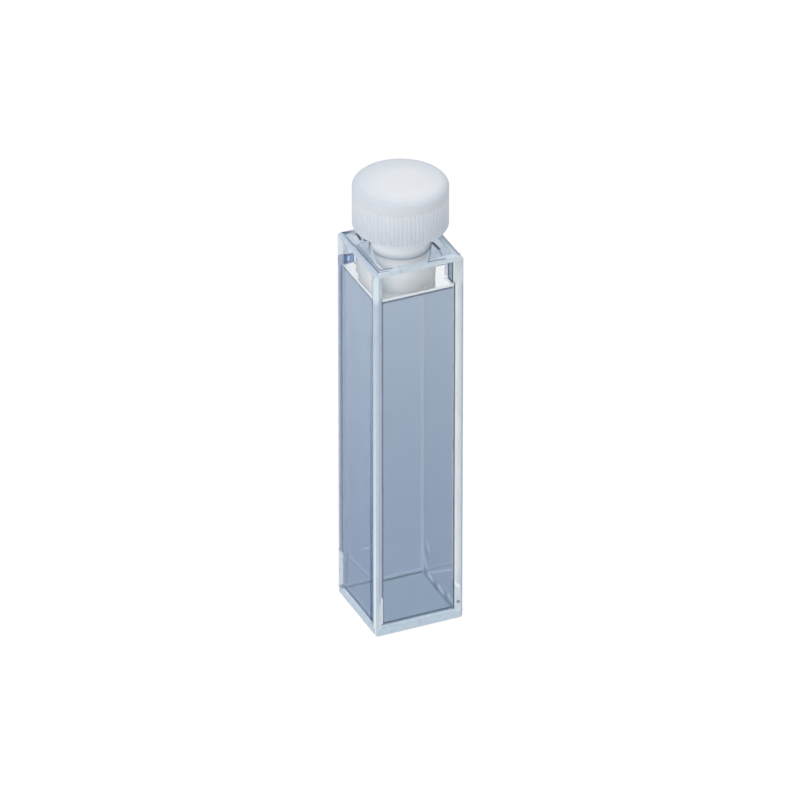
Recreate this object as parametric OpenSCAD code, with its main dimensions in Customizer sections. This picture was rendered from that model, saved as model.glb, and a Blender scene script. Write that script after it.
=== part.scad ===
// Square glass sample cell with a bonded glass top block and a tapered, ribbed stopper.
// The origin is the centre of the cell's foot. +Z points up and the windows face X and Y.
// All sizes are in millimetres.

/* [Cell] */
// clear light path between opposite windows
path = 10; // [9:0.5:12]
// thickness of the four side plates
wall = 1.25; // [0.8:0.05:2]
// height of the cell from its foot to its rim
cell_h = 55; // [40:1:70]
// thickness of the base plate
base_t = 1.25; // [0.8:0.05:3]
// bevel ground along the cell's outer edges
edge_c = 0.4; // [0.1:0.05:0.5]

/* [Top block] */
// height of the glass block that closes the mouth around the bore
block_h = 4.5; // [3:0.1:8]
// bond line between the block and the side plates
seam = 0.02; // [0.01:0.01:0.05]
// bevel around the block's foot, where the bond line ends
block_c = 0.15; // [0.05:0.05:0.3]
// diameter of the tapered bore at the rim
bore_d = 7.7; // [6:0.1:8.2]
// loss of bore diameter for each millimetre of depth
taper = 0.1; // [0.02:0.01:0.15]
// countersink at the mouth of the bore
bore_c = 0.1; // [0.05:0.05:0.2]

/* [Stopper] */
// radial clearance between the plug and the bore
fit = 0.02; // [0.01:0.01:0.05]
// length of plug that stands out below the top block
plug_out = 0.3; // [0:0.1:2]
// bevel around the plug's lower end
plug_c = 0.3; // [0.1:0.1:0.6]
// height of bare neck between the rim and the head
neck_h = 3.1; // [1:0.05:6]
// diameter of the head over its ribs
head_d = 12.5; // [10:0.1:16]
// height of the head's straight side, bevel included
head_side = 5.6; // [5.2:0.05:9]
// bevel under the head
head_c = 0.2; // [0.1:0.05:0.5]
// rounding of the head's upper edge
head_round = 0.7; // [0.4:0.1:2]
// radius of the shallow crown on top of the head
crown_r = 40; // [20:1:80]

/* [Grip ribs] */
// number of fine upright ribs around the head
rib_n = 72; // [48:1:80]
// height of the ribbed band above the head's lower face
rib_h = 4.6; // [2:0.1:5]
// radius of the round groove between two ribs
groove_r = 0.2; // [0.15:0.01:0.25]
// depth of each groove
groove_depth = 0.12; // [0.05:0.01:0.15]

/* [Hidden] */
// overlap that lets a cut run cleanly through a face
eps = 0.5;
// circle fineness
fine = 96;
groove_fine = 20;
glass_tone = [0.66, 0.73, 0.80];
stopper_tone = [0.93, 0.94, 0.95];
cell_w = path + 2 * wall;
block_w = path - 2 * seam;
block_z = cell_h - block_h;
// the bore's radius at a height z, and the plug's radius there
function bore_r(z) = bore_d / 2 - (cell_h - z) * taper / 2;
function plug_r(z) = bore_r(z) - fit;
neck_r = plug_r(cell_h);
plug_end = block_z - plug_out;
plug_shoulder = plug_end + plug_c;
head_r = head_d / 2;
head_z = cell_h + neck_h;
round_z = head_z + head_side;
round_x = head_r - head_round;
// the crown's centre, set so that the crown runs smoothly into the rounded edge
crown_z = round_z - sqrt(pow(crown_r - head_round, 2) - pow(round_x, 2));
crown_x = round_x * crown_r / (crown_r - head_round);
crown_rim = crown_z + (round_z - crown_z) * crown_r / (crown_r - head_round);
crown_top = crown_z + crown_r;

// a rectangle with its four corners cut off by c
module cut_corner_rectangle(a, b, c) {
    polygon([[c - a / 2, -b / 2], [a / 2 - c, -b / 2], [a / 2, c - b / 2], [a / 2, b / 2 - c],
             [a / 2 - c, b / 2], [c - a / 2, b / 2], [-a / 2, b / 2 - c], [-a / 2, c - b / 2]]);
}

// a square bar standing on z = 0, with every outer edge bevelled
module bevelled_bar(w, h, c) {
    intersection() {
        linear_extrude(h) cut_corner_rectangle(w, w, c);
        intersection_for (turn = [0, 90])
            translate([0, 0, h / 2]) rotate([90, 0, turn]) linear_extrude(2 * w, center = true)
                cut_corner_rectangle(w, h, c);
    }
}

// a square bar standing on z = 0, bevelled around its foot only
module bevelled_foot_bar(w, h, c) {
    intersection_for (turn = [0, 90])
        rotate([90, 0, turn]) linear_extrude(2 * w, center = true)
            polygon([[-w / 2, c], [c - w / 2, 0], [w / 2 - c, 0], [w / 2, c], [w / 2, h], [-w / 2, h]]);
}

// four fused side plates on a base plate, open at the top
module cell() {
    color(glass_tone, 0.4) difference() {
        bevelled_bar(cell_w, cell_h, edge_c);
        translate([-path / 2, -path / 2, base_t]) cube([path, path, cell_h]);
    }
}

// the glass block in the mouth, level with the rim, with the tapered bore for the plug
module top_block() {
    low = block_z - eps;
    high = cell_h + eps;
    color(glass_tone, 0.4) difference() {
        translate([0, 0, block_z]) bevelled_foot_bar(block_w, block_h, block_c);
        translate([0, 0, low]) cylinder(h = high - low, r1 = bore_r(low), r2 = bore_r(high), $fn = fine);
        translate([0, 0, cell_h - bore_c])
            cylinder(h = bore_c + eps, r1 = bore_r(cell_h - bore_c), r2 = bore_d / 2 + bore_c + eps, $fn = fine);
    }
}

// half outline of the head: bevel, straight side, rounded edge and crown
module head_outline() {
    polygon([[0, head_z], [head_r - head_c, head_z], [head_r, head_z + head_c],
             [head_r, round_z], [round_x, round_z], [crown_x, crown_rim], [0, crown_rim]]);
    intersection() {
        translate([round_x, round_z]) circle(r = head_round, $fn = fine);
        translate([round_x, round_z]) square([2 * head_round, 2 * head_round]);
    }
    intersection() {
        translate([0, crown_z]) circle(r = crown_r, $fn = 4 * fine);
        translate([0, head_z]) square([crown_x, crown_top]);
    }
}

// half outline of the tapered plug and of the neck above it
module plug_outline() {
    polygon([[0, plug_end], [plug_r(plug_shoulder) - plug_c, plug_end], [plug_r(plug_shoulder), plug_shoulder],
             [neck_r, cell_h], [neck_r, head_z + head_c], [0, head_z + head_c]]);
}

// the grooves that leave the ribs standing around the head
module grooves() {
    for (i = [0 : rib_n - 1])
        rotate([0, 0, i * 360 / rib_n])
            translate([head_r + groove_r - groove_depth, 0, head_z - eps])
                cylinder(h = rib_h + eps, r = groove_r, $fn = groove_fine);
}

// one turned piece: tapered plug, neck and ribbed head
module stopper() {
    color(stopper_tone) difference() {
        union() {
            rotate_extrude($fn = fine) plug_outline();
            rotate_extrude($fn = fine) head_outline();
        }
        grooves();
    }
}

cell();
top_block();
stopper();
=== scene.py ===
# Looks of the stoppered glass cell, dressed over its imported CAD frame.
import bmesh
import bpy
import math
import random
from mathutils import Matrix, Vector

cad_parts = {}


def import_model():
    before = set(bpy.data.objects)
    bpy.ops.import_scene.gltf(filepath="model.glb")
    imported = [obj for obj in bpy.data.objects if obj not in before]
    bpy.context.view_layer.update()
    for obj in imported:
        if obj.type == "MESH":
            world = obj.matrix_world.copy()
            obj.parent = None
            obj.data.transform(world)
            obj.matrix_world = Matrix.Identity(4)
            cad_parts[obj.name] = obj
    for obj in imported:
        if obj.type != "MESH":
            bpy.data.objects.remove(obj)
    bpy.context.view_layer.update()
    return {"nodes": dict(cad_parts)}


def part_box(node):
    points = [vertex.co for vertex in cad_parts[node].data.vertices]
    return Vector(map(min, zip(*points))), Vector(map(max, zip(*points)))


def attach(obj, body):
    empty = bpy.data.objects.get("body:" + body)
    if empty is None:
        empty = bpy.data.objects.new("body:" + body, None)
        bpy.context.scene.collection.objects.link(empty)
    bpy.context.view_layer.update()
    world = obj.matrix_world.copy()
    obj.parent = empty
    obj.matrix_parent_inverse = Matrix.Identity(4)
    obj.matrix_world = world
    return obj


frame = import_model()

# Sizes and places below are in millimetres, and MM turns them into Blender's metres.
MM = 0.001


def size(metres):
    """A length of the frame in millimetres, as round as the solids' own sizes."""
    return round(metres / MM, 3)


# Sizes that the frame shows.
CELL_H = size(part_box("cell")[1].z)  # height of the rim
HALF_OUT = size(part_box("cell")[1].x)  # half the cell's width over its windows
BLOCK_Z = size(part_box("top_block")[0].z)  # height of the top block's lower face
HEAD_R = size(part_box("stopper")[1].x)  # radius of the stopper's head over its ribs

# Sizes that the frame's boxes don't show, with the solids' own values.
SEAM = 0.02  # bond line between the top block and the plates
BASE_T = 1.25  # thickness of the base plate
EDGE_C = 0.4  # bevel along the cell's outer edges
BORE_D = 7.7  # diameter of the tapered bore at the rim
TAPER = 0.1  # loss of bore diameter for each millimetre of depth
BORE_C = 0.1  # countersink at the bore's mouth
NECK_H = 3.1  # bare neck between the rim and the head
RIB_H = 4.6  # height of the ribbed band
GROOVE_DEPTH = 0.12
HEAD_SIDE = 5.6  # height of the head's straight side

HALF_IN = size(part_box("top_block")[1].x) + SEAM  # half the width between the plates
HEAD_Z = CELL_H + NECK_H
ROUND_Z = HEAD_Z + HEAD_SIDE  # where the head's rounded edge begins

# Where thin films lie. Each stands a little off its face and off a film under it.
SKIN = 0.002  # thickness of a film on an outer face
FACE = -HALF_OUT - 0.004  # on the front and left faces
FACE_OVER = FACE - 0.004  # over another film there
INNER = HALF_IN - 0.005  # on the plates' inner faces
INNER_SKIN = 0.01  # thickness of a film there
BOND = SEAM / 2 - HALF_IN  # in the bond line at the block's front and left
BOND_OVER = BOND - 0.004  # in front of another film there
BOND_SKIN = 0.003  # thickness of a film in the bond line
BOND_LINE = 0.001  # thickness of a fine line over it
TOP = CELL_H + 0.005  # on the rim and the block
TOP_OVER = TOP + 0.003  # over another film there


def bore_r(z):
    """Radius of the tapered bore at a height."""
    return BORE_D / 2 - (CELL_H - z) * TAPER / 2


def rgb(r, g, b):
    return (r, g, b, 1.0)


WHITE = rgb(1, 1, 1)
CLEAR = rgb(0.98, 0.99, 0.995)
CLOUDED = rgb(0.955, 0.97, 0.98)
GLASS_SHADOW = rgb(0.98, 0.985, 0.99)  # lamp light that clear glass lets by
SEAM_SHADOW = rgb(0.92, 0.94, 0.96)  # lamp light that a ground or bonded face lets by
GLASS_IOR = 1.46


# ---- node helpers ----------------------------------------------------------

class Tree:
    """Short ways to build a node tree. A place or a width in a call is in millimetres."""

    def __init__(self, tree):
        self.tree = tree

    def add(self, kind, **values):
        """A new node, with some of its settings."""
        node = self.tree.nodes.new(kind)
        for key, value in values.items():
            setattr(node, key, value)
        return node

    def link(self, a, b):
        self.tree.links.new(a, b)

    def put(self, socket, value):
        """Feeds a socket from another node, or gives it a constant."""
        if isinstance(value, bpy.types.NodeSocket):
            self.link(value, socket)
        else:
            socket.default_value = value

    def math(self, operation, a, b=0.0, clamp=False):
        """The outcome of one sum or comparison."""
        node = self.add("ShaderNodeMath", operation=operation, use_clamp=clamp)
        self.put(node.inputs[0], a)
        self.put(node.inputs[1], b)
        return node.outputs[0]

    def both(self, a, b):
        """Where two masks meet, or a mask at a part of its strength."""
        return self.math("MULTIPLY", a, b)

    def either(self, a, b):
        """Where at least one of two masks lies, or the greater of two values."""
        return self.math("MAXIMUM", a, b)

    def above(self, value, place):
        """1 where a value lies above a place."""
        return self.math("GREATER_THAN", value, place * MM)

    def below(self, value, place):
        """1 where a value lies below a place."""
        return self.math("LESS_THAN", value, place * MM)

    def between(self, value, low, high):
        """1 where a value lies between two places."""
        return self.both(self.above(value, low), self.below(value, high))

    def level(self, value, place):
        """1 where a value lies at a place, give or take a hundredth of a millimetre."""
        node = self.add("ShaderNodeMath", operation="COMPARE")
        self.link(value, node.inputs[0])
        node.inputs[1].default_value = place * MM
        tolerance = 0.01
        node.inputs[2].default_value = tolerance * MM
        return node.outputs[0]

    def streak(self, u, v, a, b, width):
        """1 along a straight line of a given width between two (u, v) points."""
        slope = (b[1] - a[1]) / (b[0] - a[0])
        run = self.math("MULTIPLY", self.math("SUBTRACT", u, a[0] * MM), slope)
        rise = self.math("SUBTRACT", v, a[1] * MM)
        off = self.math("ABSOLUTE", self.math("SUBTRACT", rise, run))
        return self.both(self.below(off, width / 2), self.between(u, min(a[0], b[0]), max(a[0], b[0])))

    def ramp(self, value, low, high, out_low=0.0, out_high=1.0):
        """A value carried from one range to another, and held at its ends."""
        node = self.add("ShaderNodeMapRange")
        self.link(value, node.inputs["Value"])
        node.inputs["From Min"].default_value = low
        node.inputs["From Max"].default_value = high
        node.inputs["To Min"].default_value = out_low
        node.inputs["To Max"].default_value = out_high
        return node.outputs["Result"]

    def fade(self, value, start, end):
        """From 0 at one place to 1 at another."""
        return self.ramp(value, start * MM, end * MM)

    def reach(self, x, y):
        """Distance from an upright line, from its two parts."""
        squares = self.math("ADD", self.math("MULTIPLY", x, x), self.math("MULTIPLY", y, y))
        return self.math("SQRT", squares)

    def seen_directly(self):
        """1 for rays from the camera, and for those that glass and gloss send on."""
        path = self.add("ShaderNodeLightPath").outputs
        either = self.math("ADD", path["Is Camera Ray"], path["Is Glossy Ray"])
        return self.math("ADD", either, path["Is Transmission Ray"], clamp=True)

    def mix_shaders(self, factor, a, b, output):
        """Sends a mix of two shaders to the tree's output node."""
        node = self.add("ShaderNodeMixShader")
        self.link(factor, node.inputs[0])
        self.link(a.outputs[0], node.inputs[1])
        self.link(b.outputs[0], node.inputs[2])
        self.link(node.outputs[0], self.tree.nodes[output].inputs["Surface"])


class Material(Tree):
    """A material's node tree, round its shader."""

    def __init__(self, name):
        self.mat = bpy.data.materials.new(name)
        self.mat.use_nodes = True
        super().__init__(self.mat.node_tree)
        self.shader = self.tree.nodes["Principled BSDF"]
        self.inputs = self.shader.inputs

    def place(self):
        """Where on the object a point lies, in metres."""
        return self.add("ShaderNodeTexCoord").outputs["Object"]

    def axes(self, vector):
        """The x, y and z of a vector."""
        node = self.add("ShaderNodeSeparateXYZ")
        self.link(vector, node.inputs[0])
        return node.outputs

    def noise(self, vector, scale, detail):
        node = self.add("ShaderNodeTexNoise")
        self.link(vector, node.inputs["Vector"])
        node.inputs["Scale"].default_value = scale
        node.inputs["Detail"].default_value = detail
        return node.outputs["Fac"]

    def drawn_noise(self, vector, upright, scale, detail):
        """Noise drawn out along the cell's height."""
        node = self.add("ShaderNodeMapping")
        self.link(vector, node.inputs["Vector"])
        node.inputs["Scale"].default_value = (1, 1, upright)
        return self.noise(node.outputs["Vector"], scale, detail)

    def cloud(self, vector):
        """The faint clouding of clear glass."""
        return self.drawn_noise(vector, 0.35, 420, 4)

    def grain(self, vector):
        """The fine grain of a ground edge."""
        return self.drawn_noise(vector, 0.3, 1500, 3)

    def mix(self, factor, a, b):
        """From one colour to another, by a factor."""
        node = self.add("ShaderNodeMix", data_type="RGBA")
        self.put(node.inputs["Factor"], factor)
        self.put(node.inputs[6], a)
        self.put(node.inputs[7], b)
        return node.outputs[2]

    def times(self, a, b):
        """One colour multiplied by another."""
        node = self.add("ShaderNodeMix", data_type="RGBA", blend_type="MULTIPLY")
        node.inputs["Factor"].default_value = 1.0
        self.put(node.inputs[6], a)
        self.put(node.inputs[7], b)
        return node.outputs[2]

    def mottled(self, colour, noise, deepest):
        """A colour that a noise deepens in places."""
        return self.times(colour, self.mix(self.ramp(noise, 0.3, 0.7), deepest, WHITE))

    def bump(self, height, distance, strength):
        node = self.add("ShaderNodeBump")
        self.link(height, node.inputs["Height"])
        node.inputs["Distance"].default_value = distance
        node.inputs["Strength"].default_value = strength
        self.link(node.outputs["Normal"], self.inputs["Normal"])

    def glass(self, ior):
        """Makes the shader polished glass of a given refractive index."""
        self.inputs["Transmission Weight"].default_value = 1.0
        self.inputs["IOR"].default_value = ior
        self.inputs["Roughness"].default_value = 0.0

    def in_view(self, colour):
        """A colour that the eye meets, while light sent on by a matt face still passes clear."""
        depth = self.add("ShaderNodeLightPath").outputs["Diffuse Depth"]
        return self.mix(self.math("GREATER_THAN", depth, 0.5), colour, WHITE)

    def let_lamps_through(self, colour):
        """Glass casts a pale shadow instead of a black one."""
        clear = self.add("ShaderNodeBsdfTransparent")
        clear.inputs["Color"].default_value = colour
        shadow = self.add("ShaderNodeLightPath").outputs["Is Shadow Ray"]
        self.mix_shaders(shadow, self.shader, clear, "Material Output")


# ---- materials -------------------------------------------------------------

# painted light: the plates' tint, and the left plate's films of painted shade, are painted paler upwards
TINT_FOOT, TINT_TOP = 8, 47  # heights between which the plates' tint pales
REAR_BAND = 4.13  # how far back a side plate's plain part reaches, with a paler band behind it

# Marks on the side plates' inner faces: uneven bonding up the rear right corner and along the floor's right
# edge, and faint lines of painted reflection with one deep line. A row holds the side, the tone, its strength
# and width, and the pairs of (y, z) points that the marks run between.
DEEP_MARK = rgb(0.06, 0.085, 0.12)
PLATE_MARKS = (
    ("right", DEEP_MARK, 0.85, 1.0, [((3.8, 5.9), (2.8, 4.6)), ((4.2, 2.3), (3.4, 2.0)),
                                     ((0.9, 2.2), (-0.2, 1.6)), ((-2.5, 2.3), (-3.4, 1.8))]),
    ("right", WHITE, 0.6, 0.75, [((3.2, 6.9), (2.3, 5.9)), ((4.0, 3.9), (3.2, 2.9)), ((2.7, 2.3), (1.2, 2.1)),
                                 ((-0.4, 2.3), (-2.0, 1.9)), ((-3.6, 2.8), (-4.9, 2.5))]),
    # painted reflections: a faint gleam across the right plate, and two on the left
    ("right", WHITE, 0.4, 0.3, [((2.5, 2.6), (-4.9, 7.35))]),
    ("left", WHITE, 0.45, 0.34, [((-0.84, 10.6), (-4.3, 12.95)), ((3.2, 7.2), (-3.0, 7.9))]),
    ("left", DEEP_MARK, 0.6, 0.3, [((3.2, 6.88), (-3.0, 7.58))]),
)


def plate_glass():
    """The cell's plates, whose inner faces carry the blue-grey that the photographed glass shows."""
    n = Material("cell_glass_clear")
    n.glass(GLASS_IOR)
    at = n.place()
    x, y, z = n.axes(at)
    cloud = n.cloud(at)
    inside = HALF_IN - 0.05
    right = n.above(x, inside)
    left = n.below(x, -inside)
    rear = n.above(y, inside)
    base = n.level(z, BASE_T)

    # painted light: the tint is painted paler upwards. It also pales on a side plate beside its rear joint
    up = n.math("POWER", n.fade(z, TINT_FOOT, TINT_TOP), 1.5)
    shade = n.mix(up, rgb(0.237, 0.317, 0.448), rgb(0.345, 0.428, 0.533))
    beside = n.both(n.above(y, REAR_BAND), n.above(n.math("ABSOLUTE", x), inside))
    shade = n.mix(n.both(beside, n.ramp(up, 0, 1, 0.3, 0.14)), shade, WHITE)
    shade = n.mix(base, shade, rgb(0.229, 0.342, 0.453))
    shade = n.mottled(shade, cloud, rgb(0.95, 0.95, 0.95))

    # the floor's rear edge: a deep line, and a painted glint above it on the back plate
    line_top, glint_top = BASE_T + 0.17, BASE_T + 0.61
    line_on_base = n.both(base, n.between(y, HALF_IN - 0.16, HALF_IN + 0.1))
    line_on_back = n.both(rear, n.between(z, BASE_T - 0.05, line_top))
    shade = n.mix(n.both(n.either(line_on_base, line_on_back), 0.9), shade, rgb(0.02, 0.04, 0.06))
    glint = n.both(rear, n.between(z, line_top, glint_top))
    shade = n.mix(n.both(glint, 0.97), shade, rgb(0.9, 0.97, 1))

    # the marks, broken up by fine spots
    spots = n.ramp(n.noise(at, 2200, 2), 0.42, 0.54, 0.55, 1.0)
    for side, tone, strength, width, marks in PLATE_MARKS:
        drawn = 0.0
        for a, b in marks:
            drawn = n.either(n.streak(y, z, a, b, width), drawn)
        seen = n.both(n.both(right if side == "right" else left, drawn), n.both(spots, strength))
        shade = n.mix(seen, shade, tone)

    # the tint covers the floor and the plates' inner faces below the block
    plates = n.both(n.above(z, BASE_T + 0.1), n.below(z, BLOCK_Z))
    foot = n.both(n.either(rear, right), n.between(z, BASE_T + 0.011, BASE_T + 0.11))
    out = n.either(n.math("ABSOLUTE", x), n.math("ABSOLUTE", y))
    tinted = n.both(n.below(out, HALF_IN + 0.06), n.either(n.either(plates, foot), base))
    # the back plate's left end looks along the whole plate, which deepens it
    end_top = 51.8
    end = n.both(n.both(n.below(x, 0.05 - HALF_OUT), n.above(y, HALF_IN)), n.below(z, end_top))
    body = n.mix(n.ramp(cloud, 0.35, 0.65), CLEAR, CLOUDED)
    body = n.mix(end, body, rgb(0.29, 0.34, 0.46))
    n.put(n.inputs["Base Color"], n.in_view(n.mix(tinted, body, shade)))
    n.let_lamps_through(GLASS_SHADOW)
    return n.mat


def block_glass():
    """The clear top block, deeper where one looks through its lower face into the cell."""
    n = Material("block_glass_clear")
    n.glass(GLASS_IOR)
    at = n.place()
    body = n.mix(n.ramp(n.cloud(at), 0.35, 0.65), CLEAR, CLOUDED)
    foot = n.below(n.axes(at)[2], BLOCK_Z + 0.02)
    n.put(n.inputs["Base Color"], n.in_view(n.mix(foot, body, rgb(0.55, 0.62, 0.72))))
    n.let_lamps_through(GLASS_SHADOW)
    return n.mat


def shade_film(name, low, high):
    """A tint of painted shade that lies on a polished face, so that it also takes the face's own gloss down.
    """
    n = Material(name)
    n.glass(1.0)
    at = n.place()
    tint = n.mix(n.fade(n.axes(at)[2], TINT_FOOT, TINT_TOP), low, high)
    n.put(n.inputs["Base Color"], n.mottled(tint, n.cloud(at), rgb(0.97, 0.97, 0.97)))
    n.let_lamps_through(GLASS_SHADOW)
    return n.mat


def head_white(n, x, y, z):
    """The stopper's head: grooves in its side painted lighter against their shade, and a painted highlight on
    its crown.
    """
    radius = n.reach(x, y)
    # painted shade: the side darkens a little towards its foot
    side = n.mix(n.fade(z, HEAD_Z, HEAD_Z + 4.9), rgb(0.585, 0.61, 0.64), rgb(0.728, 0.737, 0.751))
    # painted light: the grooves are painted lighter, to even out their shade
    groove = n.both(n.fade(radius, HEAD_R, HEAD_R - GROOVE_DEPTH), n.below(z, HEAD_Z + RIB_H))
    side = n.mix(groove, side, n.times(side, rgb(1.17, 1.17, 1.17)))
    # painted highlight: the crown is palest just in front of its middle, and falls off over its rounded edge
    highlight_y = -1.2
    off_highlight = n.reach(x, n.math("SUBTRACT", y, highlight_y * MM))
    crown = n.mix(n.fade(off_highlight, 6.4, 3.2), rgb(0.705, 0.728, 0.755), rgb(0.83, 0.83, 0.83))
    white = n.mix(n.above(z, ROUND_Z), side, crown)
    # painted shade where the side turns into the rounded edge, which takes its highlight down
    edge = n.mix(n.fade(radius, 5.2, 5.9), WHITE, rgb(0.87, 0.88, 0.89))
    return n.mix(n.fade(z, ROUND_Z - 0.1, ROUND_Z + 0.2), white, n.times(white, edge))


def neck_white(n, z):
    """The stopper's bare neck and plug: painted brighter below the head's shade, and a painted shadow at the
    bore's mouth.
    """
    # painted light: bright low on the neck and on the plug, dimmer in the head's shade
    bare = n.mix(n.fade(z, CELL_H + 1.2, CELL_H + 2.2), rgb(0.94, 0.97, 1.0), rgb(0.725, 0.77, 0.825))
    # painted shadow where the neck meets the bore's mouth
    shadow_top = CELL_H + 0.8
    foot = n.both(n.between(z, CELL_H - 0.2, shadow_top), n.fade(z, shadow_top, CELL_H + 0.1))
    return n.mix(foot, bare, n.times(bare, rgb(0.72, 0.74, 0.77)))


def ptfe():
    """Matt white stopper plastic, faintly mottled on its head."""
    n = Material("stopper_white")
    at = n.place()
    x, y, z = n.axes(at)
    head = n.mottled(head_white(n, x, y, z), n.noise(at, 420, 4), rgb(0.985, 0.985, 0.985))
    n.put(n.inputs["Base Color"], n.mix(n.below(z, HEAD_Z + 0.1), head, neck_white(n, z)))
    n.put(n.inputs["Roughness"], n.ramp(n.noise(at, 900, 2), 0.3, 0.7, 0.58, 0.72))
    n.inputs["IOR"].default_value = 1.38
    n.inputs["Specular IOR Level"].default_value = 0.35
    n.inputs["Subsurface Weight"].default_value = 1.0
    n.inputs["Subsurface Radius"].default_value = (1.0, 1.0, 1.0)
    n.inputs["Subsurface Scale"].default_value = 1.2 * MM
    n.bump(n.noise(at, 2600, 3), 0.03 * MM, 0.4)
    return n.mat


def ground_glass():
    """The ground wall of the bore, matt and white, with painted shade that makes it darker and bluer towards
    the rear left.
    """
    n = Material("bore_ground_glass")
    at = n.place()
    x, y, _ = n.axes(at)
    # painted shade: darker and bluer towards the rear left, white towards the front right
    white = n.mix(n.fade(n.math("SUBTRACT", x, y), -3.2, 0.6), rgb(0.70, 0.76, 0.82), rgb(0.965, 0.985, 1.0))
    n.put(n.inputs["Base Color"], n.mottled(white, n.noise(at, 3200, 3), rgb(0.97, 0.98, 0.99)))
    n.inputs["Roughness"].default_value = 0.9
    return n.mat


def seams_and_painted_light(name, deep, pale, low=0.3, high=0.7, scale=1400):
    """Ground or bonded glass, and painted light and shade, mottled between a deep and a pale tone."""
    n = Material(name)
    spots = n.noise(n.place(), scale, 2)
    n.put(n.inputs["Base Color"], n.mix(n.ramp(spots, low, high), deep, pale))
    n.put(n.inputs["Roughness"], n.ramp(spots, 0.3, 0.7, 0.25, 0.45))
    n.let_lamps_through(SEAM_SHADOW)
    return n.mat


def corner_glass():
    """The corners' ground bevels: lighter beside the block, greener at the foot and pale at the far left."""
    n = Material("bevel_upright")
    at = n.place()
    x, _, z = n.axes(at)
    shade = n.mix(n.ramp(n.grain(at), 0.3, 0.7), rgb(0.473, 0.546, 0.646), rgb(0.528, 0.601, 0.701))
    shade = n.mix(n.fade(z, BLOCK_Z - 0.1, BLOCK_Z + 0.9), shade, rgb(0.72, 0.79, 0.82))
    shade = n.mix(n.fade(z, 4.8, 3.6), shade, rgb(0.546, 0.619, 0.646))
    far_left = n.both(n.fade(x, -6.12, -6.18), n.ramp(z, 45 * MM, 10 * MM, 0.2, 1.0))
    shade = n.mix(far_left, shade, rgb(0.80, 0.88, 0.89))
    n.put(n.inputs["Base Color"], shade)
    n.inputs["Roughness"].default_value = 0.5
    n.let_lamps_through(SEAM_SHADOW)
    return n.mat


def joint_glass(name, tones, upright=True, beside=None):
    """A fused joint between two plates, in tones by (distance from the middle, colour).

    The distance is taken along x in an upright joint, and squarely all round in a level one.
    beside holds the height from which the joint runs beside the block, and its tone there.
    """
    n = Material(name)
    at = n.place()
    x, y, z = n.axes(at)
    out = n.math("ABSOLUTE", x)
    if not upright:
        out = n.either(out, n.math("ABSOLUTE", y))
    shade = tones[0][1]
    for (low, _), (high, colour) in zip(tones, tones[1:]):
        shade = n.mix(n.fade(out, low, high), shade, colour)
    if beside:
        shade = n.mix(n.fade(z, beside[0], beside[0] + 0.6), shade, beside[1])
    grain = n.grain(at)
    n.put(n.inputs["Base Color"], n.mottled(shade, grain, rgb(0.92, 0.93, 0.95)))
    n.put(n.inputs["Roughness"], n.ramp(grain, 0.3, 0.7, 0.5, 0.7))
    n.let_lamps_through(SEAM_SHADOW)
    return n.mat


# Tones of seams, chips and painted reflections that more than one piece takes.
seam_deep = seams_and_painted_light("seam_deep", rgb(0.146, 0.191, 0.255), rgb(0.218, 0.273, 0.346))
seam_and_glint_pale = seams_and_painted_light("seam_and_glint_pale", rgb(0.837, 0.864, 0.883), rgb(0.764, 0.81, 0.846), 0.35, 0.75)
seam_slate = seams_and_painted_light("seam_slate", rgb(0.237, 0.291, 0.382), rgb(0.309, 0.364, 0.455))
seam_soft = seams_and_painted_light("seam_soft", rgb(0.64, 0.70, 0.74), rgb(0.74, 0.80, 0.84))
seam_ink = seams_and_painted_light("seam_ink", rgb(0.127, 0.164, 0.228), rgb(0.182, 0.228, 0.291))
patch_over = seams_and_painted_light("patch_over", rgb(0.60, 0.67, 0.76), rgb(0.70, 0.77, 0.86))
patch_navy = seams_and_painted_light("patch_navy", rgb(0.0273, 0.0455, 0.091), rgb(0.0455, 0.0728, 0.127))
bevel_upright = corner_glass()


# ---- ways to make a piece --------------------------------------------------

def new_piece(name, bm, material, smooth=False):
    """Makes a mesh a piece of the part, which rides on the part's one body."""
    bmesh.ops.recalc_face_normals(bm, faces=bm.faces)
    mesh = bpy.data.meshes.new(name)
    bm.to_mesh(mesh)
    bm.free()
    for face in mesh.polygons:
        face.use_smooth = smooth
    piece = bpy.data.objects.new(name, mesh)
    bpy.context.scene.collection.objects.link(piece)
    piece.data.materials.append(material)
    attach(piece, "root")


def corner(bm, point):
    """A mesh point at a place in millimetres."""
    return bm.verts.new([c * MM for c in point])


def skin(bm, loops, closed):
    """Faces between neighbouring loops of points, which are loops of equal length."""
    pairs = zip(loops, loops[1:] + loops[:1]) if closed else zip(loops, loops[1:])
    for a, b in pairs:
        for i in range(len(a)):
            j = (i + 1) % len(a)
            bm.faces.new((a[i], a[j], b[j], b[i]))
    if not closed:
        bm.faces.new(list(reversed(loops[0])))
        bm.faces.new(loops[-1])


def turned(points, quarters):
    """Points turned about the cell's axis by quarter turns."""
    for _ in range(quarters):
        points = [(-y, x, z) for x, y, z in points]
    return points


def lathe(name, outline, material):
    """A closed turned piece from (radius, height) pairs, given in a loop."""
    turns = 96
    bm = bmesh.new()
    loops = []
    for i in range(turns):
        a = 2 * math.pi * i / turns
        loops.append([corner(bm, (r * math.cos(a), r * math.sin(a), z)) for r, z in outline])
    skin(bm, loops, True)
    new_piece(name, bm, material, True)


def square_frame(name, outline, material, steps):
    """A square frame about the cell's axis from (half width, height) pairs, given in a loop."""
    bm = bmesh.new()
    loops = []
    for side in range(4):
        for i in range(steps):
            along = -1 + 2 * i / steps
            points = turned([(half * along, -half, z) for half, z in outline], side)
            loops.append([corner(bm, p) for p in points])
    skin(bm, loops, True)
    new_piece(name, bm, material)


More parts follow.
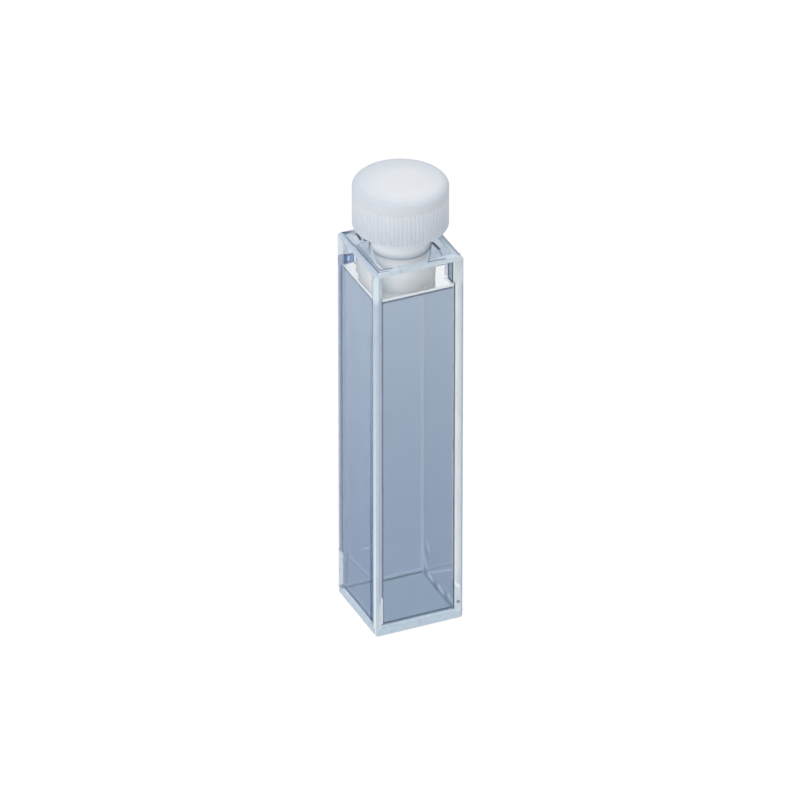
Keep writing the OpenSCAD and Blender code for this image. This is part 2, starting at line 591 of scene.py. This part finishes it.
def film(name, corners, thick, material):
    """A thin film over a flat outline of corners, with its thickness given as a vector."""
    bm = bmesh.new()
    near = [corner(bm, p) for p in corners]
    far = [corner(bm, [c + t for c, t in zip(p, thick)]) for p in corners]
    skin(bm, [near, far], False)
    new_piece(name, bm, material)


def patch(name, axis, at, outline, material, thick=SKIN):
    """A thin film across one axis at a place, outlined by pairs in the other two."""
    corners = [(at, a, b) if axis == "x" else (a, at, b) if axis == "y" else (a, b, at) for a, b in outline]
    film(name, corners, [thick if axis == k else 0 for k in "xyz"], material)


def block_patch(name, axis, at, outline, material, thick=SKIN):
    """The same for what belongs to the block."""
    patch(name, axis, at, outline, material, thick)


def rectangle(a, b):
    """The corners of a rectangle with level and upright sides, from two opposite ones."""
    return [a, (b[0], a[1]), b, (a[0], b[1])]


def stroke(name, axis, at, a, b, width, material, thick=SKIN):
    """A thin straight line of film on the block, between two points."""
    run = math.hypot(b[0] - a[0], b[1] - a[1])
    u, v = (a[1] - b[1]) / run * width / 2, (b[0] - a[0]) / run * width / 2
    outline = [(a[0] - u, a[1] - v), (b[0] - u, b[1] - v), (b[0] + u, b[1] + v), (a[0] + u, a[1] + v)]
    block_patch(name, axis, at, outline, material, thick)


def top_line(name, points, width, material, at=TOP):
    """A line of short straight strokes on the rim and the block, between (x, y) points."""
    for i, (a, b) in enumerate(zip(points, points[1:])):
        stroke("%s_%d" % (name, i + 1), "z", at, a, b, width, material)


def joint_strip(name, side, y, material, seed):
    """The fused joint along a side plate's edge: an upright strip with a slightly uneven inner line."""
    steps, uneven, half_thick = 80, 0.03, 0.004
    rng = random.Random(seed)
    far = HALF_OUT - 0.03
    bm = bmesh.new()
    loops = []
    for i in range(steps + 1):
        z = BASE_T + 0.02 + (CELL_H - BASE_T - 0.05) * i / steps
        near = HALF_IN + 0.02 + uneven * rng.random()
        section = ((near, -half_thick), (far, -half_thick), (far, half_thick), (near, half_thick))
        loops.append([corner(bm, (side * x, y + off, z)) for x, off in section])
    skin(bm, loops, False)
    new_piece(name, bm, material)


# ---- pieces ----------------------------------------------------------------

def dress_solids():
    """The solids keep their shapes and take their finished materials."""
    for node, material in (("cell", plate_glass()), ("top_block", block_glass()), ("stopper", ptfe())):
        for slot in frame["nodes"][node].material_slots:
            slot.material = material


def bore_wall():
    """The ground bore, whose matt wall makes the plug show white right across."""
    low, high = BLOCK_Z + 0.02, CELL_H - 0.14
    near, far = 0.010, 0.016
    outline = [(bore_r(low) + near, low), (bore_r(low) + far, low),
               (bore_r(high) + far, high), (bore_r(high) + near, high)]
    lathe("bore_ground", outline, ground_glass())


def ground_faces():
    """The cell's bevels, ground matt, and the narrow matt face round its base plate."""
    # painted light and shade: the front rim bevel is a paler copy of the other rim bevels, and the left base
    # face a deeper copy of the others
    rim_front = seams_and_painted_light("bevel_rim_front", rgb(0.545, 0.60, 0.64), rgb(0.61, 0.665, 0.70))
    rim_else = seams_and_painted_light("bevel_rim", rgb(0.50, 0.57, 0.65), rgb(0.575, 0.635, 0.715))
    foot_all = seams_and_painted_light("bevel_foot", rgb(0.564, 0.628, 0.664), rgb(0.637, 0.692, 0.719))
    base_left = seams_and_painted_light("base_ground_left", rgb(0.46, 0.56, 0.64), rgb(0.58, 0.67, 0.75), 0.35, 0.65, 1100)
    base_else = seams_and_painted_light("base_ground", rgb(0.55, 0.655, 0.73), rgb(0.61, 0.71, 0.78))
    # a bevel runs from flat to HALF_OUT, and the corners' bevels meet it at mid
    flat, mid = HALF_OUT - EDGE_C, HALF_OUT - EDGE_C / 2
    high, high_mid, base_top = CELL_H - EDGE_C, CELL_H - EDGE_C / 2, BASE_T + 0.03
    rim = [(-flat, -flat, CELL_H), (flat, -flat, CELL_H), (mid, -mid, high_mid),
           (flat, -HALF_OUT, high), (-flat, -HALF_OUT, high), (-mid, -mid, high_mid)]
    foot = [(x, y, CELL_H - z) for x, y, z in rim]
    upright = [(HALF_OUT, -flat, EDGE_C), (HALF_OUT, -flat, high), (mid, -mid, high_mid),
               (flat, -HALF_OUT, high), (flat, -HALF_OUT, EDGE_C), (mid, -mid, EDGE_C / 2)]
    base = [(-flat, -HALF_OUT, EDGE_C), (flat, -HALF_OUT, EDGE_C),
            (flat, -HALF_OUT, base_top), (-flat, -HALF_OUT, base_top)]
    for i, name in enumerate(("front", "right", "back", "left")):
        for kind, outline, outwards, material in (
                ("rim", rim, (0, -1, 1), rim_front if name == "front" else rim_else),
                ("foot", foot, (0, -1, -1), foot_all),
                ("side", upright, (1, -1, 0), bevel_upright),
                ("base", base, (0, -1, 0), base_left if name == "left" else base_else)):
            step = [SKIN * o for o in outwards]
            lifted = turned([[c + s for c, s in zip(p, step)] for p in outline], i)
            film("ground_%s_%s" % (kind, name), lifted, turned([step], i)[0], material)


def rim_flats():
    """The rim's flat, in painted light and shade: palest at the front and deepest on the left."""
    flat, z = HALF_OUT - EDGE_C, CELL_H + SKIN
    corners = [(-HALF_IN, -HALF_IN, z), (HALF_IN, -HALF_IN, z), (flat, -flat, z), (-flat, -flat, z)]
    for i, (name, deep, pale) in enumerate((
            ("front", rgb(0.71, 0.77, 0.83), rgb(0.77, 0.83, 0.89)),
            ("right", rgb(0.482, 0.564, 0.646), rgb(0.537, 0.619, 0.701)),
            ("back", rgb(0.4, 0.473, 0.564), rgb(0.455, 0.528, 0.619)),
            ("left", rgb(0.382, 0.464, 0.564), rgb(0.428, 0.51, 0.61)))):
        tone = seams_and_painted_light("rim_flat_" + name, deep, pale)
        film("rim_" + name, turned(corners, i), (0, 0, SKIN), tone)


def rim_marks():
    """Fine lines, glints and patches on the rim, by (x, y) points."""
    dim = seams_and_painted_light("seam_dim", rgb(0.27, 0.32, 0.38), rgb(0.33, 0.38, 0.44))
    top_line("rim_line_rear", [(-5.62, 4.6), (-5.58, 1.2)], 0.13, seam_slate)
    top_line("rim_line_left", [(-5.58, 1.2), (-5.5, -5.42), (-4.03, -5.55)], 0.15, seam_ink)
    top_line("rim_glint_left", [(-5.76, 2.0), (-5.68, -5.4)], 0.12, seam_and_glint_pale)
    top_line("rim_line_right", [(5.82, 5.6), (5.82, -5.75)], 0.1, seam_ink)
    top_line("rim_line_front", [(1.42, -5.5), (3.85, -5.75)], 0.2, seam_ink)
    top_line("rim_line_back", [(-5.8, 5.78), (-4.2, 5.3)], 0.2, seam_slate)
    block_patch("rim_corner_mark", "z", TOP, [(-5.68, 5.93), (-4.35, 5.53), (-5.63, 4.98)], seam_deep)
    pale = [(-5.46, 4.9), (-4.7, 4.85), (-4.45, 4.4), (-4.73, 4.45), (-5.27, 2.11), (-5.44, 2.4)]
    block_patch("rim_pale_rear", "z", TOP, pale, patch_over)
    top_line("rim_corner_front", [(-5.18, -4.95), (-3.41, -5.14)], 0.34, dim, TOP_OVER)
    top_line("rim_glint_right", [(5.34, -1.0), (5.30, -5.6)], 0.16, seam_and_glint_pale)


def bond_line():
    """The block's bond line: a pale edge all round, with a deep line under it at the front and left."""
    pale = rectangle((INNER, BLOCK_Z + 0.04), (INNER - 0.008, BLOCK_Z + 0.36))
    square_frame("bond_pale", pale, seam_and_glint_pale, 30)
    under = rectangle((-INNER, BLOCK_Z - 0.28), (INNER, BLOCK_Z - 0.04))
    block_patch("bond_deep_front", "y", -INNER, under, seam_deep, INNER_SKIN)
    block_patch("bond_deep_left", "x", -INNER, under, seam_deep, INNER_SKIN)


def mouth_line():
    """The bore's countersunk mouth, with a narrow ring of painted shade round it."""
    outline = [(bore_r(CELL_H - BORE_C) + 0.005, CELL_H - 0.09), (BORE_D / 2 + 0.02, CELL_H - 0.04),
               (BORE_D / 2 + 0.24, CELL_H + 0.004), (BORE_D / 2 + 0.005, CELL_H + 0.004)]
    tone = seams_and_painted_light("mouth_shade", rgb(0.52, 0.57, 0.62), rgb(0.58, 0.63, 0.68))
    lathe("mouth_line", outline, tone)


def fused_joints():
    """The joints between the plates, by tones from the inner face outwards."""
    deep = rgb(0.091, 0.127, 0.173)
    tones = [(5.0, deep), (5.06, deep), (5.15, rgb(0.582, 0.664, 0.773)), (5.9, rgb(0.619, 0.701, 0.792)),
             (6.0, rgb(0.728, 0.783, 0.837)), (6.05, rgb(0.06, 0.10, 0.15))]
    glass = joint_glass("joint_fl_upright", tones, beside=(50.6, rgb(0.746, 0.81, 0.846)))
    joint_strip("joint_front_left", -1, -HALF_IN, glass, 2)
    deep, pale = rgb(0.09, 0.13, 0.17), rgb(0.97, 1.0, 1.0)
    tones = [(5.0, deep), (5.22, deep), (5.32, pale), (5.5, pale), (5.8, rgb(0.84, 0.90, 0.97)),
             (6.2, rgb(0.74, 0.79, 0.85))]
    glass = joint_glass("joint_fr_upright", tones, beside=(50.7, rgb(0.84, 0.90, 0.91)))
    joint_strip("joint_front_right", 1, -HALF_IN, glass, 3)
    blue, deep = rgb(0.255, 0.346, 0.51), rgb(0.109, 0.155, 0.246)
    tones = [(5.0, blue), (5.4, blue), (5.6, deep), (5.95, deep), (6.08, rgb(0.34, 0.42, 0.54))]
    glass = joint_glass("joint_bl_upright", tones, beside=(52.4, rgb(0.80, 0.86, 0.92)))
    joint_strip("joint_back_left", -1, HALF_IN, glass, 4)
    pale, grey = rgb(0.78, 0.88, 0.97), rgb(0.64, 0.75, 0.86)
    tones = [(5.0, pale), (5.3, pale), (5.5, grey), (6.2, grey)]
    glass = joint_glass("joint_base_level", tones, upright=False)
    section = rectangle((HALF_IN + 0.03, BASE_T - 0.004), (HALF_OUT - 0.008, BASE_T + 0.004))
    square_frame("joint_base", section, glass, 60)


def left_painted_shade():
    """Painted shade on the left plate, which turns more of the surroundings back to the eye, in tints by (y,
    z) points.
    """
    plain = shade_film("left_window_shade", rgb(0.77, 0.81, 0.88), rgb(0.86, 0.895, 0.94))
    end = shade_film("end_window_shade", rgb(0.90, 0.94, 1.0), rgb(0.90, 0.94, 1.0))
    slate = shade_film("slate_window_shade", rgb(0.74, 0.84, 0.95), rgb(0.74, 0.84, 0.95))
    front = shade_film("edge_window_shade", rgb(0.56, 0.66, 0.76), rgb(0.97, 0.98, 0.99))
    beside_block = [(4.1, 51.15), (0.55, 53.5), (0.55, 54.6), (0.95, 54.6), (4.1, 52.75)]
    patch("left_window", "x", FACE, rectangle((REAR_BAND, 1.84), (-5.44, 51.05)), plain)
    patch("end_window", "x", FACE, [(5.83, 7.1), (5.83, 50.2), (4.15, 51.0), (4.15, 7.1)], end)
    patch("slate_window", "x", FACE, beside_block, slate)
    patch("edge_window", "x", FACE_OVER, rectangle((-4.35, 1.84), (-4.98, 46.0)), front)
    patch("front_edge_left", "x", FACE, rectangle((-5.46, 1.35), (-5.84, 54.4)), bevel_upright)


def inner_lines():
    """Deep lines where the front and left plates meet the floor and each other."""
    low = BASE_T + 0.25
    along_floor = rectangle((-INNER, low), (INNER, BASE_T + 0.50))
    up_corner = rectangle((-INNER, low), (-4.86, BLOCK_Z - 0.1))
    patch("floor_line_front", "y", -INNER, along_floor, seam_ink, INNER_SKIN)
    patch("floor_line_left", "x", -INNER, along_floor, seam_ink, INNER_SKIN)
    patch("corner_line_left", "y", -INNER, up_corner, seam_slate, INNER_SKIN)


def chips():
    """Small chips of pale glass beside the front plate's joints, one dark spot, and a chipped rear end."""
    white = seams_and_painted_light("chip_white", rgb(0.93, 0.95, 0.97), rgb(0.97, 0.98, 1.0))
    end = seams_and_painted_light("chip_end_tone", rgb(0.491, 0.546, 0.619), rgb(0.619, 0.664, 0.728), 0.4, 0.55, 900)
    left_edge = [(-5.25, 1.6), (-4.97, 1.55), (-4.97, 5.4), (-5.25, 5.8)]
    right_chip = [(4.9, 6.0), (5.15, 6.0), (5.84, 5.1), (5.7, 4.8), (5.3, 5.0), (5.0, 5.4)]
    dark_spot = [(5.25, 3.0), (5.6, 3.0), (5.73, 2.7), (5.6, 2.5), (5.25, 2.6)]
    patch("chip_left", "y", FACE, [(-5.84, 1.3), (-5.50, 1.3), (-5.50, 5.1), (-5.84, 5.4)], seam_soft)
    patch("chip_left_edge", "y", -INNER - 0.03, left_edge, white, INNER_SKIN)
    patch("chip_right", "y", FACE_OVER, right_chip, white)
    patch("chip_right_low", "y", FACE, [(4.95, 1.3), (5.84, 1.3), (5.84, 4.95), (4.95, 5.5)], seam_soft)
    patch("chip_spot", "y", FACE_OVER, dark_spot, seam_slate)
    patch("chip_end", "x", FACE, [(5.83, 1.3), (4.47, 2.3), (4.47, 7.0), (5.2, 7.0), (5.83, 6.5)], end)


def block_right():
    """Painted stand-ins for the slate surroundings that the bonded front side of the block lets through at
    its right.
    """
    slate = seams_and_painted_light("patch_slate", rgb(0.23, 0.32, 0.43), rgb(0.28, 0.37, 0.48))
    lilac = seams_and_painted_light("patch_lilac", rgb(0.601, 0.655, 0.801), rgb(0.655, 0.71, 0.846))
    whole = [(4.28, 52.01), (4.97, 50.99), (4.97, 54.8), (4.28, 54.8)]
    left_edge = [(4.19, 52.2), (4.42, 51.85), (4.42, 54.5), (4.19, 54.5)]
    right_edge = [(4.80, 51.3), (4.995, 51.0), (4.995, 54.6), (4.80, 54.6)]
    beside = [(3.75, 52.45), (4.16, 52.1), (4.16, 54.3), (3.75, 54.4)]
    block_patch("slate_right", "y", BOND, whole, slate, BOND_SKIN)
    block_patch("slate_edge", "y", BOND_OVER, left_edge, patch_navy)
    block_patch("slate_side", "y", BOND_OVER, right_edge, patch_navy)
    stroke("slate_foot", "y", BOND_OVER, (4.25, 52.05), (4.97, 51.0), 0.26, patch_navy)
    stroke("slate_glint", "y", BOND_OVER, (3.75, 52.1), (4.9, 50.75), 0.34, seam_and_glint_pale, BOND_LINE)
    block_patch("slate_lilac", "y", BOND, beside, lilac, BOND_SKIN)


def block_left():
    """The same through the block's left side, and on the back plate's left end beside it."""
    blue = seams_and_painted_light("patch_blue", rgb(0.06, 0.13, 0.32), rgb(0.08, 0.15, 0.34))
    end_blue = seams_and_painted_light("end_blue", rgb(0.27, 0.33, 0.46), rgb(0.33, 0.39, 0.52))
    whole = [(4.97, 50.84), (1.56, 53.05), (1.56, 54.25), (4.97, 52.10)]
    over = [(4.97, 52.2), (1.5, 54.4), (1.5, 54.97), (4.97, 54.97)]
    under = [(4.97, 50.66), (1.67, 52.8), (1.06, 51.86), (0.3, 51.74),
             (0.21, 51.04), (1.36, 50.69), (4.3, 50.6)]
    block_patch("slate_left", "x", BOND, whole, blue, BOND_SKIN)
    block_patch("slate_left_over", "x", BOND, over, patch_over, BOND_SKIN)
    block_patch("slate_left_under", "x", BOND, under, seam_and_glint_pale)
    stroke("slate_left_gleam", "x", BOND_OVER, (3.35, 53.1), (3.35, 51.9), 0.8, patch_over)
    stroke("slate_left_top", "x", BOND_OVER, (4.97, 52.0), (1.5, 54.2), 0.26, patch_navy, BOND_LINE)
    stroke("slate_left_foot", "x", BOND_OVER, (4.97, 50.95), (1.5, 53.15), 0.26, patch_navy, BOND_LINE)
    stroke("slate_left_end", "x", BOND_OVER, (1.62, 53.0), (1.62, 54.3), 0.3, patch_navy, BOND_LINE)
    block_patch("end_slate", "x", FACE, [(5.83, 50.3), (4.5, 50.9), (4.2, 52.6), (5.83, 51.7)], end_blue)
    block_patch("end_over", "x", FACE, [(5.83, 51.8), (4.1, 52.8), (4.1, 54.58), (5.83, 54.58)], seam_soft)


def block_top_marks():
    """Marks that show in the top, by (x, y) points: the ground bore's edge, and the block's far faces."""
    top_line("top_dark_right", [(3.95, -1.2), (4.05, -3.3)], 0.36, patch_navy)
    top_line("top_thin_right", [(4.0, -3.4), (3.7, -4.9)], 0.12, seam_slate)
    top_line("top_dark_left", [(-4.05, 4.65), (-4.25, 3.05)], 0.34, patch_navy, TOP_OVER)
    top_line("top_spot_left", [(-3.88, 2.95), (-3.7, 2.55)], 0.24, patch_navy)
    left_patch = [(-4.73, 4.45), (-5.27, 2.11), (-4.38, 2.52), (-4.19, 4.2)]
    block_patch("top_white_left", "z", TOP, left_patch, seam_and_glint_pale)
    right_glint = [(2.79, -2.86), (2.19, -3.97), (1.57, -4.94), (0.87, -5.79)]
    right_line = [(3.23, -2.23), (2.69, -3.37), (2.04, -4.6), (1.33, -5.74)]
    left_glint = [(-3.56, 1.35), (-3.99, 0.16), (-4.54, -1.53),
                  (-4.85, -3.18), (-4.78, -4.45), (-4.55, -5.19)]
    top_line("sleeve_white_right", right_glint, 0.2, seam_and_glint_pale)
    top_line("sleeve_line_right", right_line, 0.12, seam_slate)
    top_line("sleeve_white_left", left_glint, 0.3, seam_and_glint_pale)
    top_line("sleeve_line_left", [(-3.49, 1.98), (-3.91, 0.95), (-4.3, -0.1)], 0.12, seam_slate)


# ---- stage, light and camera: places are in metres -------------------------

def floor():
    """A plain pale floor just under the foot: mostly a glow to the eye, and matt to every other ray."""
    half, gap = 6.0, 0.00002
    mesh = bpy.data.meshes.new("floor")
    corners = [(x, y, 0) for x, y in rectangle((-half, -half), (half, half))]
    mesh.from_pydata(corners, [], [(0, 1, 2, 3)])
    plane = bpy.data.objects.new("floor", mesh)
    bpy.context.scene.collection.objects.link(plane)
    plane.location.z = -gap
    n = Material("floor_white")
    n.tree.nodes.remove(n.shader)
    matt = n.add("ShaderNodeBsdfDiffuse")
    matt.inputs["Color"].default_value = rgb(0.75, 0.75, 0.75)
    glow = n.add("ShaderNodeEmission")
    glow.inputs["Strength"].default_value = 1.08
    n.mix_shaders(n.math("MULTIPLY", n.seen_directly(), 0.85), matt, glow, "Material Output")
    plane.data.materials.append(n.mat)


def world():
    """Surroundings that are white to the eye, and a dimmer, cooler light on matt faces."""
    studio = bpy.data.worlds.new("studio")
    bpy.context.scene.world = studio
    studio.use_nodes = True
    n = Tree(studio.node_tree)
    dim = n.tree.nodes["Background"]
    dim.inputs["Color"].default_value = rgb(0.57, 0.605, 0.66)
    white = n.add("ShaderNodeBackground")
    white.inputs["Color"].default_value = WHITE
    n.mix_shaders(n.seen_directly(), dim, white, "World Output")


def aimed(obj, way):
    """Turns a lamp or a camera to look a given way."""
    obj.rotation_mode = "QUATERNION"
    obj.rotation_quaternion = way.to_track_quat("-Z", "Y")


def softbox(name, place, side, watts, colour):
    """A square lamp that looks at the part, at about half its height."""
    middle = Vector((0, 0, 0.035))
    light = bpy.data.lights.new(name, "AREA")
    light.shape = "SQUARE"
    light.size = side
    light.energy = watts
    light.color = colour
    lamp = bpy.data.objects.new(name, light)
    bpy.context.scene.collection.objects.link(lamp)
    lamp.location = place
    aimed(lamp, middle - lamp.location)


def camera():
    """The photograph's view: a long lens from the front left, above. Lengths are in millimetres."""
    azimuth, elevation = math.radians(-24.0), math.radians(31.38)
    distance = 1450.0
    picture_width, pixels_per_mm = 800, 7.706
    # the picture's middle is at this height on the cell's axis, and then about half a pixel left and down
    middle_height = 31.6
    left_pixels, down_pixels = 0.45, 0.6
    back = Vector((math.sin(azimuth) * math.cos(elevation), -math.cos(azimuth) * math.cos(elevation),
                   math.sin(elevation)))
    right = Vector((math.cos(azimuth), math.sin(azimuth), 0))
    up = back.cross(right)
    target = Vector((0, 0, middle_height)) - (right * left_pixels + up * down_pixels) / pixels_per_mm
    data = bpy.data.cameras.new("camera")
    cam = bpy.data.objects.new("camera", data)
    bpy.context.scene.collection.objects.link(cam)
    cam.location = (target + back * distance) * MM
    aimed(cam, -back)
    data.sensor_width = 36.0
    data.lens = pixels_per_mm * distance / picture_width * data.sensor_width
    data.clip_start, data.clip_end = 0.01, 100.0
    data.dof.use_dof = False
    bpy.context.scene.camera = cam


def light_paths():
    """Light that runs along inside the plates meets their faces many times before it comes out."""
    cycles = bpy.context.scene.cycles
    cycles.max_bounces = 400
    cycles.transmission_bounces = 400
    cycles.glossy_bounces = 400
    cycles.diffuse_bounces = 24
    cycles.transparent_max_bounces = 32


dress_solids()
bore_wall()
ground_faces()
rim_flats()
rim_marks()
bond_line()
mouth_line()
fused_joints()
left_painted_shade()
inner_lines()
chips()
block_right()
block_left()
block_top_marks()

floor()
world()
softbox("key", (-1.24, -0.95, 0.62), 1.8, 13.8, (0.985, 0.99, 1.0))
softbox("top", (-0.1, -0.1, 1.5), 0.8, 4.8, (1.0, 0.99, 0.975))
camera()
light_paths()
bpy.context.scene.view_settings.view_transform = "Standard"
